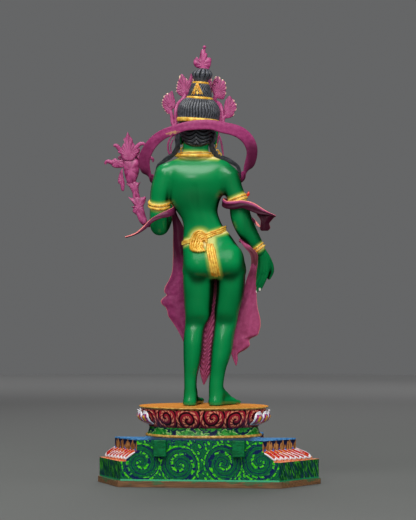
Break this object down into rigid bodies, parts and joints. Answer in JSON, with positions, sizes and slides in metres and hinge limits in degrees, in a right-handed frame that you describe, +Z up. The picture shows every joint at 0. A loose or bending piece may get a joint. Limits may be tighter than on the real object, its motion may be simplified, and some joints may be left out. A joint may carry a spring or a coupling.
{
  "type": "tara figure",
  "caption": "Standing female figure of painted carved wood with scarves, crown and lotus flower, on an oval lotus seat and a stepped base with a flat back.",
  "frame": {"origin": "on the axis of the lotus seat, at the underside of the base board", "axes": "+Z up, +Y the way the figure faces, +X towards the figure's right side; the flat back of the base is at -Y"},
  "size_m": [0.448, 0.2453, 0.8749],
  "materials": {
    "bare_board": "bare planed wood, aged brown, matt",
    "painted_base": "satin hand paint: green scrolls on navy, petals and flames on the sides",
    "painted_block": "plain green paint, satin",
    "painted_seat": "satin hand paint: crimson and maroon with salmon curls, gold ring and rim",
    "green_lacquer": "glossy green lacquer with airbrushed shadows, blue-black hair, gold bands",
    "magenta_lacquer": "satin magenta paint with paler coral edges",
    "crown_lacquer": "satin magenta paint with cream tips",
    "flower_lacquer": "satin pink and magenta paint"
  },
  "bodies": {
    "root": {"base_slab": "bare_board", "throne": "painted_base", "socket_block_left": "painted_block", "socket_block_right": "painted_block", "lotus_seat": "painted_seat", "figure": "green_lacquer", "scarf_loop": "magenta_lacquer", "scarf_left": "magenta_lacquer", "scarf_right": "magenta_lacquer", "front_cloth": "magenta_lacquer", "crown": "crown_lacquer", "finial": "crown_lacquer", "lotus_flower": "flower_lacquer"}
  },
  "joints": []
}
